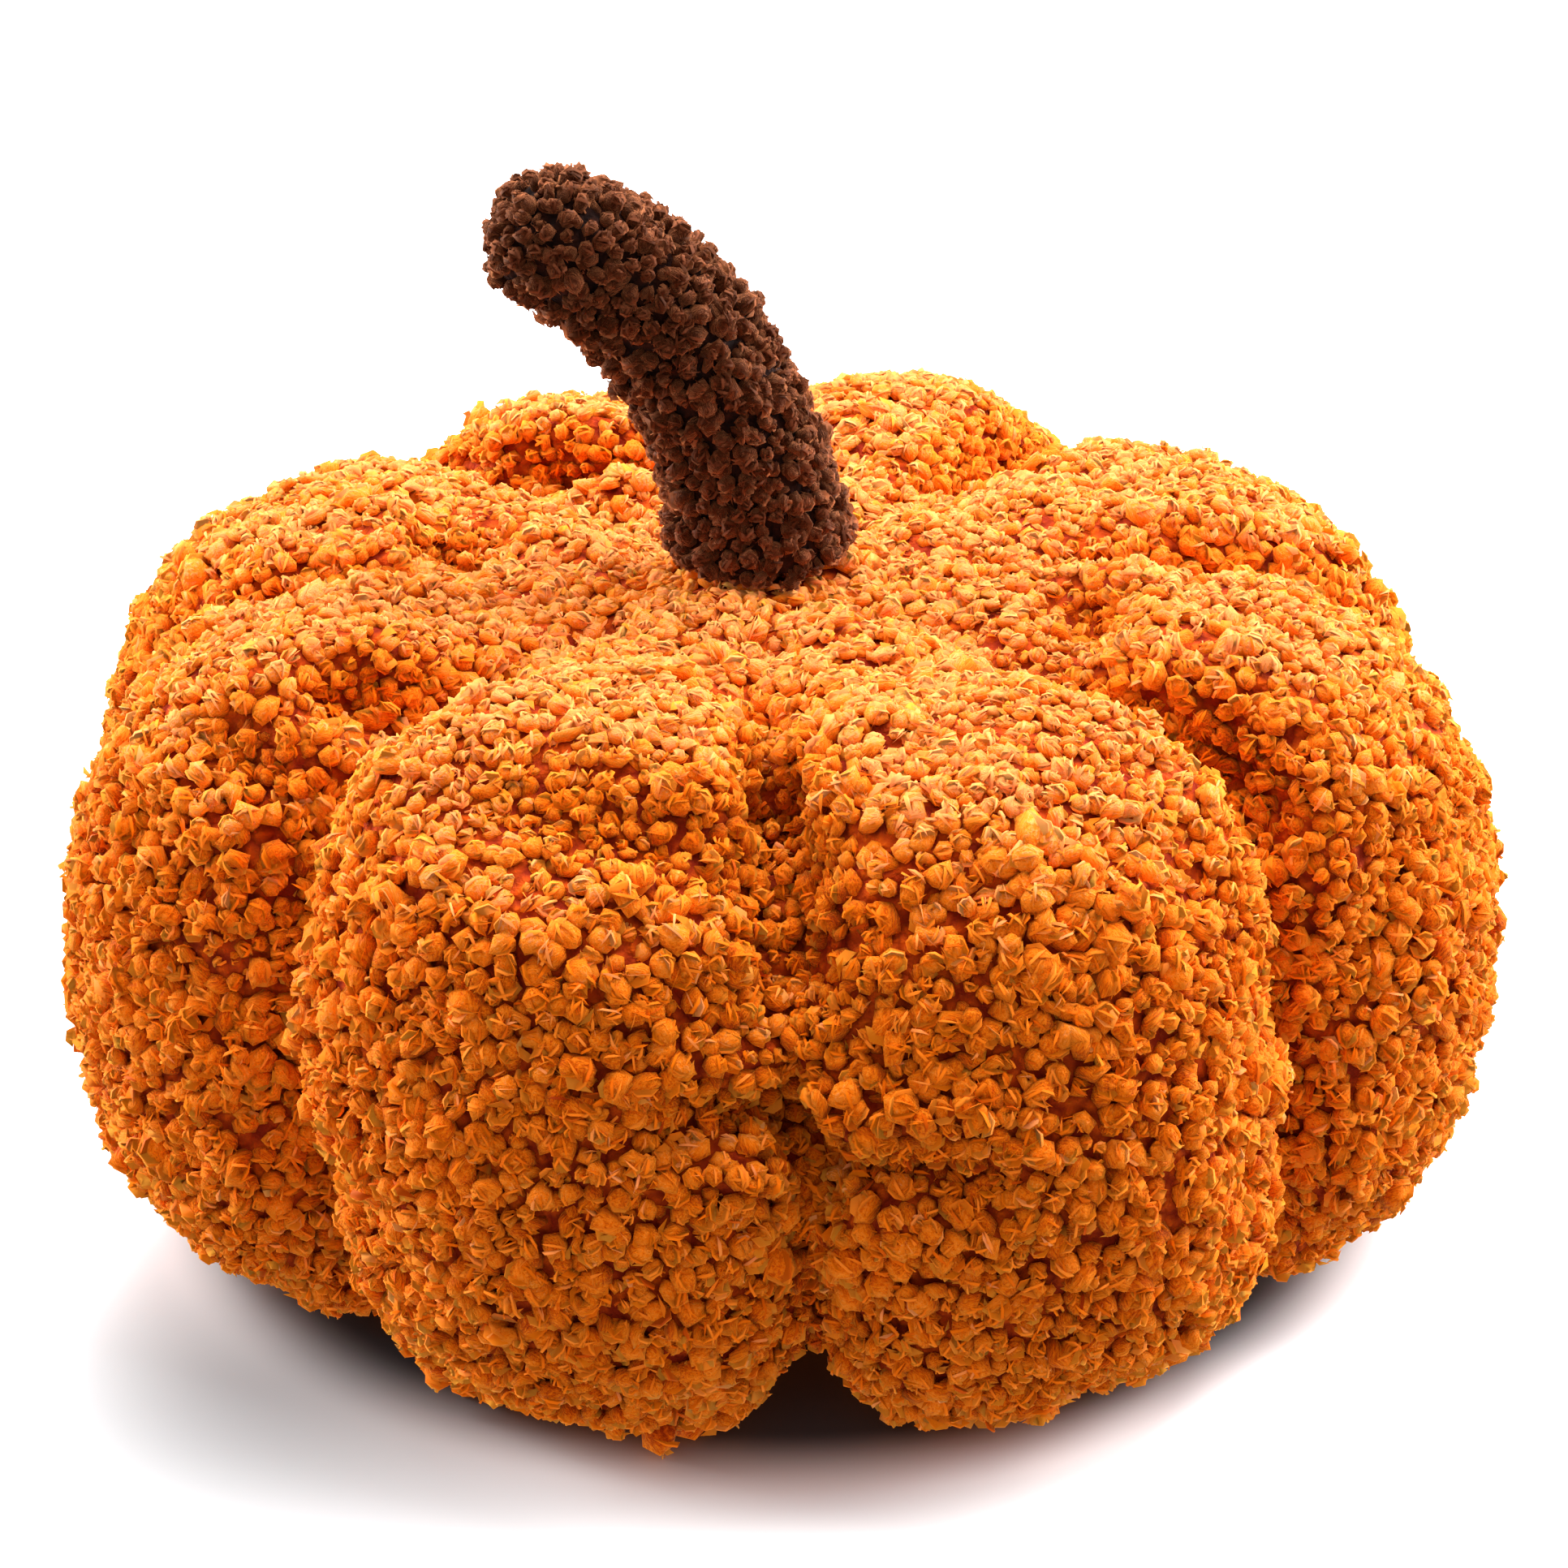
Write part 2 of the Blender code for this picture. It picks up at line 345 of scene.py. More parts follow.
def read_edges(mesh):
    ends = np.empty(len(mesh.edges) * 2, dtype=np.int32)
    mesh.edges.foreach_get("vertices", ends)
    return ends.reshape(-1, 2)


def neighbour_means(co, edges):
    """The mean of each point's neighbours."""
    total = np.zeros_like(co)
    count = np.zeros(len(co))
    for near, far in ((0, 1), (1, 0)):
        np.add.at(total, edges[:, near], co[edges[:, far]])
        np.add.at(count, edges[:, near], 1)
    return total / np.maximum(count, 1)[:, None]


def smoothed(co, edges, rounds, share=0.5):
    for _ in range(rounds):
        co = co + (neighbour_means(co, edges) - co) * share
    return co


def unit(vectors):
    return vectors / np.maximum(np.linalg.norm(vectors, axis=-1, keepdims=True), 1e-12)


def share_past(values, start, length):
    """0 up to the start, and from there to 1 over the length."""
    return np.clip((values - start) / length, 0, 1)


def bell(distance, width):
    """1 in the middle, and near 0 from about two widths."""
    return np.exp(-((distance / width) ** 2))


def tree_of(points):
    tree = KDTree(len(points))
    for index, point in enumerate(points):
        tree.insert(point, index)
    tree.balance()
    return tree


def wavy(co, wave):
    """A smooth field of hills and hollows about 0, from a few crossed waves."""
    rng = np.random.default_rng(wave.seed)
    field = np.zeros(len(co))
    for _ in range(WAVES):
        direction = unit(rng.normal(0, 1, 3))
        length = wave.length * rng.uniform(*WAVE_LENGTHS)
        field += np.sin(co @ direction * math.tau / length + rng.uniform(0, math.tau))
    return wave.height * (field / math.sqrt(WAVES))


def new_object(name, mesh):
    item = bpy.data.objects.new(name, mesh)
    bpy.context.scene.collection.objects.link(item)
    return item


# Camera
def make_camera():
    camera = bpy.data.objects.new("camera", bpy.data.cameras.new("camera"))
    bpy.context.scene.collection.objects.link(camera)
    camera.location = CAMERA_TARGET + CAMERA_BACK * CAMERA_DISTANCE
    camera.rotation_euler = (-CAMERA_BACK).to_track_quat("-Z", "Y").to_euler()
    camera.data.sensor_width = SENSOR
    camera.data.lens = LENS
    bpy.context.scene.camera = camera


def seen_through(x, y):
    """Where a pixel of the photograph looks from, and the direction it looks in."""
    across = (x - PICTURE / 2) / FOCAL_PIXELS
    down = (y - PICTURE / 2) / FOCAL_PIXELS
    ahead = (CAMERA_RIGHT * across - CAMERA_UP * down - CAMERA_BACK).normalized()
    return CAMERA_TARGET + CAMERA_BACK * CAMERA_DISTANCE, ahead


# Stuffed cloth
def remeshed(name, node, voxel):
    """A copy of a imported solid, as an even mesh."""
    item = new_object(name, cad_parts[node].data.copy())
    item.data.materials.clear()
    remesh = item.modifiers.new("even", "REMESH")
    remesh.mode = "VOXEL"
    remesh.voxel_size = voxel
    remesh.use_smooth_shade = True
    graph = bpy.context.evaluated_depsgraph_get()
    mesh = bpy.data.meshes.new_from_object(item.evaluated_get(graph))
    item.modifiers.clear()
    item.data = mesh
    item.data.name = name
    return item


def channel_points(node):
    """Points along the bottoms of the channels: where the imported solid's surface turns inwards."""
    shape = bmesh.new()
    shape.from_mesh(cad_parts[node].data)
    bmesh.ops.remove_doubles(shape, verts=shape.verts, dist=1e-5)
    shape.normal_update()
    found = []
    for vert in shape.verts:
        near = [edge.other_vert(vert).co for edge in vert.link_edges]
        turn = (sum(near, Vector()) / len(near) - vert.co).dot(vert.normal)
        if turn > CHANNEL_TURN and vert.co.z > CHANNEL_LOWEST:
            found.append(vert.co.copy())
    shape.free()
    return found


def along_lines(points):
    """The points with more between each and its near ones, so that a row of them makes a line."""
    tree = tree_of(points)
    dense = list(points)
    for point in points:
        for near, _, distance in tree.find_n(point, 3)[1:]:
            if distance < CHANNEL_REACH:
                steps = range(1, CHANNEL_STEPS)
                dense += [point.lerp(near, step / CHANNEL_STEPS) for step in steps]
    return dense


def distances_to(points, co):
    tree = tree_of(points)
    return np.array([tree.find(point)[2] for point in co])


def swell(item, held):
    """Blows the piece up as cloth that is held at some points, and keeps the resulting mesh."""
    scene = bpy.context.scene
    start = read_points(item.data)
    group = item.vertex_groups.new(name="sewn")
    group.add([int(index) for index in np.nonzero(held)[0]], 1.0, "REPLACE")
    cloth = item.modifiers.new("cloth", "CLOTH")
    settings = cloth.settings
    settings.quality = 5
    settings.mass = 0.3
    settings.tension_stiffness = CLOTH_STIFFNESS
    settings.compression_stiffness = CLOTH_STIFFNESS
    settings.shear_stiffness = CLOTH_STIFFNESS / 3
    settings.bending_stiffness = 0.5
    settings.use_pressure = True
    settings.uniform_pressure_force = CLOTH_PRESSURE
    settings.shrink_min = -CLOTH_GROWTH
    settings.vertex_group_mass = "sewn"
    settings.effector_weights.gravity = 0
    cloth.collision_settings.use_collision = False
    cloth.point_cache.frame_start = 1
    cloth.point_cache.frame_end = CLOTH_FRAMES
    for number in range(1, CLOTH_FRAMES + 1):
        scene.frame_set(number)
    graph = bpy.context.evaluated_depsgraph_get()
    swelled = item.evaluated_get(graph).to_mesh()
    moved = read_points(swelled) - start
    item.evaluated_get(graph).to_mesh_clear()
    item.modifiers.clear()
    item.vertex_groups.clear()
    scene.frame_set(1)
    length = np.linalg.norm(moved, axis=1, keepdims=True)
    moved *= np.minimum(1.0, SWELL_LIMIT / np.maximum(length, 1e-9))
    write_points(item.data, start + moved)


def crease_path(crease, surface):
    """Places on the surface that the photograph's pixels along a crease fall on."""
    path = []
    for share in np.linspace(0, 1, CREASE_POINTS):
        x = crease.x0 + (crease.x1 - crease.x0) * share
        y = crease.y0 + (crease.y1 - crease.y0) * share
        place = surface.ray_cast(*seen_through(x, y))[0]
        if place is not None:
            path.append(place)
    return np.array(path)


def press_creases(item):
    """Sinks a soft trough for each crease, and gives how pinched each point of the mesh is."""
    mesh = item.data
    co = read_points(mesh)
    normals = read_normals(mesh)
    surface = BVHTree.FromPolygons(co.tolist(), read_triangles(mesh).tolist())
    sunk = np.zeros(len(co))
    pinched = np.zeros(len(co))
    for crease in CREASES:
        path = crease_path(crease, surface)
        if not len(path):
            continue
        away = np.linalg.norm(co[:, None, :] - path[None, :, :], axis=2)
        along = away.argmin(axis=1) / max(1, len(path) - 1)
        fading = CREASE_FULL - np.abs(along - CREASE_DEEPEST) * CREASE_FADING
        fading = np.clip(fading, CREASE_LEAST, 1.0)
        reach = away.min(axis=1) / crease.width
        rim = CREASE_RIM * np.exp(-((reach - CREASE_RIM_AT) ** 2) * CREASE_RIM_SHARPNESS)
        sunk += crease.depth * fading * (bell(reach, 1) - rim)
        pinched = np.maximum(pinched, bell(reach, 1) * fading)
    write_points(mesh, co - normals * (CREASE_DEPTH_SHARE * sunk)[:, None])
    return pinched


def make_body_cloth():
    item = remeshed("pumpkin_cover", "pumpkin_body", BODY_VOXEL)
    mesh = item.data
    seams = along_lines(channel_points("pumpkin_body"))
    edges = read_edges(mesh)
    inwards = BODY_PILE_DEPTH + SWELL_ROOM
    co = smoothed(read_points(mesh), edges, 2)
    write_points(mesh, co)
    co = smoothed(co - read_normals(mesh) * inwards, edges, 2)
    write_points(mesh, co)
    sewn = distances_to(seams, co) < SEAM_GRIP + inwards
    held = sewn | (co[:, 2] < co[:, 2].min() + RESTING_BAND)
    swell(item, held)
    co = smoothed(read_points(mesh), edges, 1)
    write_points(mesh, co)
    from_centre = np.hypot(co[:, 0], co[:, 1])
    pull = np.clip((from_centre - SEAM_PULL_START) / SEAM_PULL_RAMP, SEAM_PULL_LEAST, 1.0)
    away = distances_to(seams, co)
    near_seam = bell(away, SEAM_PULL_WIDTH)
    bulge = SEAM_BULGE * bell(away - SEAM_BULGE_AT, SEAM_BULGE_WIDTH)
    sunk = pull * (SEAM_PULL * near_seam - bulge)
    write_points(mesh, co - read_normals(mesh) * sunk[:, None])
    pinched = np.maximum(pull * near_seam, press_creases(item))
    attribute = mesh.attributes.new("pinched", "FLOAT", "POINT")
    attribute.data.foreach_set("value", pinched.astype(np.float32))
    return item


def make_stem_cloth():
    item = remeshed("stem_cover", "stem", STEM_VOXEL)
    edges = read_edges(item.data)
    co = smoothed(read_points(item.data), edges, 3)
    write_points(item.data, co)
    co = smoothed(co - read_normals(item.data) * STEM_PILE_DEPTH, edges, 1)
    low = co[:, 2].min()
    base = co[co[:, 2] < low + STEM_BASE_BAND].mean(axis=0)
    near_base = np.clip(1 - (co[:, 2] - low) / STEM_HEM, 0, 1)[:, None]
    co[:, :2] += (co[:, :2] - base[:2]) * near_base * STEM_HEM_FLARE
    near_tip = np.clip(1 - (co[:, 0] - co[:, 0].min()) / STEM_TIP_LENGTH, 0, 1)
    co[:, 0] -= STEM_TIP_REACH * near_tip
    write_points(item.data, co)
    return item


# Curls. A point's fibre is its place in the field of streaks, so that they follow the curl's turns
Curl = namedtuple("Curl", "points faces fibre")


def tube_curl(lock, rng):
    """A lock of fibres that winds half round or a whole turn, thickest in its middle."""
    turns = rng.uniform(*lock.turns)
    phase = rng.uniform(0, math.tau)
    wobble = rng.normal(0, LOCK_STRAY, (lock.steps, 3))
    share = np.linspace(0, 1, lock.steps)
    angle = phase + share * turns * math.tau
    radius = lock.wide * (1 - (1 - lock.narrow) * share)
    height = lock.rise * np.sin(share * math.pi * LOCK_BOW) - LOCK_DIP * (1 - share) ** 2
    line = np.stack([radius * np.cos(angle), radius * np.sin(angle), height], axis=1) + wobble
    ahead = unit(np.gradient(line, axis=0))
    bow = np.sin(np.clip(share * 1.05 + 0.02, 0, 1) * math.pi) ** 0.6
    girth = lock.thick * (LOCK_ENDS + (1 - LOCK_ENDS) * bow)
    points = []
    fibre = []
    for index in range(lock.steps):
        side = unit(np.cross(ahead[index], NEARLY_UP))
        lift = np.cross(side, ahead[index])
        for step in range(LOCK_SIDES):
            around = math.tau * step / LOCK_SIDES
            offset = side * math.cos(around) + lift * math.sin(around)
            points.append(line[index] + offset * girth[index] * rng.uniform(*LOCK_UNEVEN))
            twisted = around + share[index] * LOCK_TWIST
            fibre.append((share[index] * turns * 0.5, math.cos(twisted), math.sin(twisted)))
    faces = []
    for index in range(lock.steps - 1):
        low, high = index * LOCK_SIDES, (index + 1) * LOCK_SIDES
        for step in range(LOCK_SIDES):
            after = (step + 1) % LOCK_SIDES
            faces.append((low + step, low + after, high + after, high + step))
    last = lock.steps - 1
    for end, outward in ((0, -1), (last, 1)):
        tip = len(points)
        points.append(line[end] + ahead[end] * outward * girth[end] * LOCK_ENDS)
        fibre.append((share[end] * turns * 0.5 + outward * 0.1, 0.0, 0.0))
        for step in range(LOCK_SIDES):
            ring = end * LOCK_SIDES
            pair = (ring + step, ring + (step + 1) % LOCK_SIDES)
            faces.append((*(pair if outward > 0 else pair[::-1]), tip))
    return Curl(np.array(points), faces, np.array(fibre))


def bead_curl(sides, tall, waist, peak, rng):
    """A rounded knot of fibres, with a waist where two knots sit side by side."""
    lumps = rng.normal(0, 1, (4, 3))
    swirl = rng.choice((-1, 1)) * rng.uniform(*KNOT_SWIRL)
    points = []
    fibre = []
    faces = []
    for ring in range(1, KNOT_RINGS):
        polar = math.pi * ring / KNOT_RINGS
        across, along = math.sin(polar), math.cos(polar)
        for step in range(sides):
            around = math.tau * (step + 0.5 * (ring % 2)) / sides
            out = np.array((across * math.cos(around), across * math.sin(around), along))
            swelled = 1
            for lump, (height, closeness) in zip(lumps, KNOT_LUMPS):
                swelled += height * math.sin(lump @ out * closeness)
            pinch = 1 - waist * math.exp(-((out[0] / WAIST_WIDTH) ** 2))
            wide = 1.0 + WAIST_STRETCH * waist
            points.append(out * swelled * (wide, pinch * 0.95, tall * pinch))
            twisted = around + polar * swirl
            fibre.append((polar * 0.25, math.cos(twisted), math.sin(twisted)))
    for ring in range(KNOT_RINGS - 2):
        low, high = ring * sides, (ring + 1) * sides
        for step in range(sides):
            after = (step + 1) % sides
            faces.append((low + step, high + step, high + after, low + after))
    top, bottom = len(points), len(points) + 1
    points += [np.array((0, 0, tall * peak)), np.array((0, 0, -tall * KNOT_PEAK))]
    fibre += [(0.0, 0.0, 0.0), (0.25 * math.pi, 0.0, 0.0)]
    last = (KNOT_RINGS - 2) * sides
    for step in range(sides):
        after = (step + 1) % sides
        faces.append((top, step, after))
        faces.append((bottom, last + after, last + step))
    return Curl(np.array(points) + (0, 0, tall * KNOT_PLACE), faces, np.array(fibre))


def make_curls(peak, rng):
    """The variants of all kinds of curl, as (share of the pile, curl)."""
    curls = []
    for knot in KNOTS:
        for _ in range(knot.variants):
            waist = rng.uniform(*knot.waist) if knot.waist else 0.0
            tall = rng.uniform(*knot.tall)
            curls.append((knot.share, bead_curl(knot.sides, tall, waist, peak, rng)))
    for lock in LOCKS:
        for _ in range(lock.variants):
            curls.append((lock.share, tube_curl(lock, rng)))
    return curls


# Growing the pile
def scattered(mesh, spacing, rng):
    """Even but irregular places on a mesh, no two nearer than the spacing there."""
    co = read_points(mesh)
    normals = read_normals(mesh)
    corners = read_triangles(mesh)
    a, b, c = (co[corners[:, index]] for index in range(3))
    area = np.linalg.norm(np.cross(b - a, c - a), axis=1) / 2
    widest = spacing(co).max()
    amount = int(area.sum() / spacing(co).mean() ** 2 * SCATTER_TRIES)
    chosen = rng.choice(len(corners), amount, p=area / area.sum())
    first = rng.random(amount)
    second = rng.random(amount)
    flip = first + second > 1
    first[flip], second[flip] = 1 - first[flip], 1 - second[flip]
    weights = np.stack([1 - first - second, first, second], axis=1)
    places = np.einsum("nk,nkd->nd", weights, co[corners[chosen]])
    facing = unit(np.einsum("nk,nkd->nd", weights, normals[corners[chosen]]))
    cells = np.floor(places / widest).astype(int)
    around = [(i, j, k) for i in (-1, 0, 1) for j in (-1, 0, 1) for k in (-1, 0, 1)]
    grid = {}
    kept = []

    def is_free(place, cell, gap):
        x, y, z = place
        limit = gap * gap
        for i, j, k in around:
            for other in grid.get((cell[0] + i, cell[1] + j, cell[2] + k), ()):
                if (other[0] - x) ** 2 + (other[1] - y) ** 2 + (other[2] - z) ** 2 < limit:
                    return False
        return True

    rows = zip(places.tolist(), map(tuple, cells.tolist()), spacing(places).tolist())
    for index, (place, cell, gap) in enumerate(rows):
        if is_free(place, cell, gap):
            grid.setdefault(cell, []).append(place)
            kept.append(index)
    return places[kept], facing[kept]


def room_around(places):
    """The mean distance from each place to its nearest few, as a share of the mean of all."""
    tree = tree_of(places)
    nearest = [tree.find_n(place, NEAR_CURLS + 1) for place in places]
    room = np.array([sum(hit[2] for hit in hits) for hits in nearest])
    return room / room.mean()


def laid_strands(places, up, size, tall, each, reach, strand, rng):
    """Thin closed strands over the curls: a ridge on each, whose underside is the chord of its bow.

    Each curl has its own number of strands.
    """
    count = int(each.sum())
    owner = np.repeat(np.arange(len(places)), each)
    axis, radius = up[owner], size[owner]
    centre = places[owner] + axis * (radius * STRAND_CENTRE)[:, None]
    out = unit(axis * STRAND_UPRIGHT + rng.normal(0, STRAND_SCATTER, (count, 3)))
    round_axis = unit(np.cross(axis, out))
    astray = unit(np.cross(out, rng.normal(0, 1, (count, 3))))
    along = unit(round_axis + astray * rng.uniform(*STRAND_ASTRAY, (count, 1)))
    half_width = strand.half_width * rng.uniform(*STRAND_WIDTHS, count)
    across = np.cross(along, out) * half_width[:, None]
    half_turn = rng.uniform(*STRAND_HALF_TURN, count)
    amount = 2 + 2 * len(strand.bends)
    points = np.empty((count, amount, 3))

    def on_bow(share, height):
        angle = half_turn * share
        aim = out * np.cos(angle)[:, None] + along * np.sin(angle)[:, None]
        return centre + aim * (radius * height)[:, None]

    points[:, 0] = on_bow(-1.0, rng.uniform(STRAND_LEAST_REACH, reach, count))
    points[:, -1] = on_bow(1.0, rng.uniform(STRAND_LEAST_REACH, reach, count))
    rise = rng.uniform(*STRAND_RISE, count)
    for index, share in enumerate(strand.bends):
        middle = on_bow(share, rise)
        points[:, 1 + 2 * index] = middle + across
        points[:, 2 + 2 * index] = middle - across
    level = np.einsum("nmk,nk->nm", points - places[owner][:, None], axis)
    points += axis[:, None] * (level * (tall[owner] - 1)[:, None])[..., None]
    corners = np.array(strand.faces)[None] + (amount * np.arange(count))[:, None, None]
    # Strands facing up along their curl get painted light
    painted_top_light_mask = np.einsum("nk,nk->n", out, axis)
    tip = STRAND_TIP + STRAND_PAINTED_TOP_LIGHT * painted_top_light_mask + rng.normal(0, STRAND_TIP_SPREAD, count)
    fibre = np.repeat(rng.uniform(0, FIBRE_FIELD, (count, 3)), amount, axis=0)
    shade = unit(points - centre[:, None])
    shade = unit(shade + rng.normal(0, STRAND_SHADE_SPREAD, (count, 1, 3)))
    return points.reshape(-1, 3), corners.ravel(), np.repeat(tip, amount), fibre, shade.reshape(-1, 3)


def mesh_of(name, points, corners, starts, shading):
    """A smooth mesh from flat lists. Points whose shading is zero keep their own normals."""
    mesh = bpy.data.meshes.new(name)
    mesh.vertices.add(len(points))
    mesh.vertices.foreach_set("co", points.astype(np.float32).ravel())
    mesh.loops.add(len(corners))
    mesh.loops.foreach_set("vertex_index", corners.astype(np.int32))
    mesh.polygons.add(len(starts))
    mesh.polygons.foreach_set("loop_start", starts.astype(np.int32))
    mesh.polygons.foreach_set("use_smooth", np.ones(len(starts), dtype=bool))
    mesh.update(calc_edges=True)
    mesh.normals_split_custom_set_from_vertices(shading.tolist())
    return mesh


def grow_pile(name, pile, curls, rng, places, facing, radius, tall, painted_light_and_shade, strands, fine):
    """One mesh of curls, one at each place, with strands wound over them."""
    count = len(places)
    shares = np.array([share for share, _ in curls])
    picks = rng.choice(len(curls), count, p=shares / shares.sum())
    spin = rng.uniform(0, math.tau, count)
    up = unit(facing + rng.normal(0, pile.lean, (count, 3)) + np.array((0, 0, -pile.droop)))
    side = unit(np.cross(up, rng.normal(0, 1, (count, 3))))
    ahead = np.cross(up, side)
    x_axis = side * np.cos(spin)[:, None] + ahead * np.sin(spin)[:, None]
    y_axis = np.cross(up, x_axis)
    size = radius * np.clip(rng.normal(1.0, CURL_SIZE_SPREAD, count), *CURL_SIZES)
    stretch = rng.uniform(*CURL_STRETCH, (count, 3))
    stretch[:, 2] *= tall
    # Each curl's random tone, shifted by painted light and shade
    tone_and_painted_light = rng.random(count) + painted_light_and_shade
    shift = rng.uniform(0, FIBRE_FIELD, (count, 3))
    all_points, all_fibre, all_tip, all_tone_and_painted_light = [], [], [], []
    loops, starts = [], []
    vertex_base = 0
    loop_base = 0
    for kind, (_, curl) in enumerate(curls):
        chosen = np.nonzero(picks == kind)[0]
        if not len(chosen):
            continue
        local = curl.points[None] * stretch[chosen][:, None]
        axes = np.stack([x_axis[chosen], y_axis[chosen], up[chosen]], axis=1)
        grown = np.einsum("nmk,nkd->nmd", local, axes) * size[chosen][:, None, None]
        grown += places[chosen][:, None]
        amount = len(curl.points)
        all_points.append(grown.reshape(-1, 3))
        all_fibre.append((curl.fibre[None] + shift[chosen][:, None]).reshape(-1, 3))
        # Each point's height on its curl, which the material turns into painted shade at the root
        all_tip.append(np.broadcast_to(curl.points[None, :, 2], local.shape[:2]).reshape(-1))
        all_tone_and_painted_light.append(np.repeat(tone_and_painted_light[chosen], amount))
        corners = np.array([index for face in curl.faces for index in face])
        sides = np.array([len(face) for face in curl.faces])
        begins = np.concatenate([[0], np.cumsum(sides)[:-1]])
        each = np.arange(len(chosen))
        loops.append((corners[None] + (vertex_base + each * amount)[:, None]).reshape(-1))
        starts.append((begins[None] + (loop_base + each * len(corners))[:, None]).reshape(-1))
        vertex_base += amount * len(chosen)
        loop_base += len(corners) * len(chosen)
    shading = [np.zeros((vertex_base, 3))]
    for each, reach, strand in (
        (strands, THICK_STRAND_REACH, THICK_STRAND),
        (fine, pile.fuzz, FINE_STRAND),
    ):
        laid = laid_strands(places, up, size, tall, each, reach, strand, rng)
        points, corners, tip, fibre, shade = laid
        shading.append(shade)
        all_points.append(points)
        all_fibre.append(fibre)
        all_tip.append(tip)
        all_tone_and_painted_light.append(np.repeat(tone_and_painted_light, (2 + 2 * len(strand.bends)) * each))
        loops.append(corners + vertex_base)
        starts.append(loop_base + 3 * np.arange(len(corners) // 3))
        vertex_base += len(points)
        loop_base += len(corners)
    points = np.concatenate(all_points)
    points[:, 2] = np.maximum(points[:, 2], FLOOR_CLEARANCE)
    rows = np.concatenate(loops), np.concatenate(starts), np.concatenate(shading)
    mesh = mesh_of(name, points, *rows)
    for label, key, kind, values in (
        ("fibre", "vector", "FLOAT_VECTOR", all_fibre),
        ("tip", "value", "FLOAT", all_tip),
        ("tone_and_painted_light", "value", "FLOAT", all_tone_and_painted_light),
    ):
        attribute = mesh.attributes.new(label, kind, "POINT")
        attribute.data.foreach_set(key, np.concatenate(values).astype(np.float32).ravel())
    return new_object(name, mesh)


def lobe_of(co):
    """Index in CHANNELS of the lobe that each point is on."""
    first = CHANNELS[0][0]
    angle = np.degrees(np.arctan2(co[:, 1] - LOBE_CENTRE[1], co[:, 0] - LOBE_CENTRE[0]))
    angle = (angle - first) % 360 + first
    directions = np.array([direction for direction, _ in CHANNELS])
    return np.searchsorted(directions, angle, side="right") - 1


def nearest_values(mesh, label, places):
    """The attribute's values at the points of the mesh that are nearest to the places."""
    values = np.empty(len(mesh.vertices))
    mesh.attributes[label].data.foreach_get("value", values)
    tree = tree_of(read_points(mesh))
    return values[[tree.find(place)[1] for place in places]]


def body_spacing(co):
    underside = share_past(-co[:, 2], -UNDERSIDE_TOP, UNDERSIDE_RAMP)
    top = share_past(co[:, 2], CLOSE_FROM, CLOSE_RAMP)
    share = 1 + UNDERSIDE_THINNER * underside - CLOSE_SHARE * top + wavy(co, SPACING_WAVE)
    return BODY_PILE.spacing * share


def stem_spacing(co):
    return np.full(len(co), STEM_PILE.spacing)


def dress_body(cloth, material):
    rng = np.random.default_rng(BODY_PILE.seed)
    curls = make_curls(BODY_PILE.peak, rng)
    places, facing = scattered(cloth.data, body_spacing, rng)
    from_stem = np.hypot(places[:, 0] - LOBE_CENTRE[0], places[:, 1] - LOBE_CENTRE[1])
    shown = (from_stem > UNDER_STEM) | (places[:, 2] < UNDER_STEM_LOWEST)
    places, facing = places[shown], facing[shown]
    resting = places[:, 2] < RESTING_PILE
    strands = np.where(resting, 1, BODY_STRANDS)
    fine = np.where(resting, 1, BODY_FINE_STRANDS)
    tall = 1 - MATTED_SHARE * share_past(facing[:, 2], MATTED_FROM, MATTED_RAMP)
    uneven = rng.normal(0, PILE_UNEVEN, len(places))
    places = places + facing * (wavy(places, HEIGHT_WAVE) + uneven - PILE_SINK)[:, None]
    lobes = lobe_of(places)
    pinched = nearest_values(cloth.data, "pinched", places)
    # Painted light on the curls that face up, and painted shade on those deep in the seams and
    # creases
    tone_and_painted_light = TOP_PAINTED_LIGHT * share_past(facing[:, 2], PAINTED_LIGHT_FROM, PAINTED_LIGHT_RAMP) - PINCHED_PAINTED_SHADE * pinched
    radius = BODY_PILE.radius * room_around(places) * (1 + wavy(places, SIZE_WAVE))
    radius *= 1 - PINCHED_SMALLER * pinched
    grown = (places, facing, radius, tall, tone_and_painted_light, strands, fine)
    pieces = []
    for index, (_, lobe) in enumerate(CHANNELS):
        on_lobe = [values[lobes == index] for values in grown]
        piece = grow_pile(f"pile_{lobe}", BODY_PILE, curls, rng, *on_lobe)
        piece.data.materials.append(material)
        pieces.append(piece)
    return pieces


def dress_stem(cloth, material):
    rng = np.random.default_rng(STEM_PILE.seed)
    curls = make_curls(STEM_PILE.peak, rng)
    places, facing = scattered(cloth.data, stem_spacing, rng)
    shown = places[:, 2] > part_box("stem")[0].z + STEM_BARE
    places, facing = places[shown], facing[shown]
    radius = STEM_PILE.radius * room_around(places)
    tall = np.full(len(places), STEM_TALL)
    strands = np.full(len(places), STEM_STRANDS)
    fine = np.full(len(places), STEM_FINE_STRANDS)
    grown = (places, facing, radius, tall, 0.0, strands, fine)
    piece = grow_pile("pile_stem", STEM_PILE, curls, rng, *grown)
    piece.data.materials.append(material)
    return piece


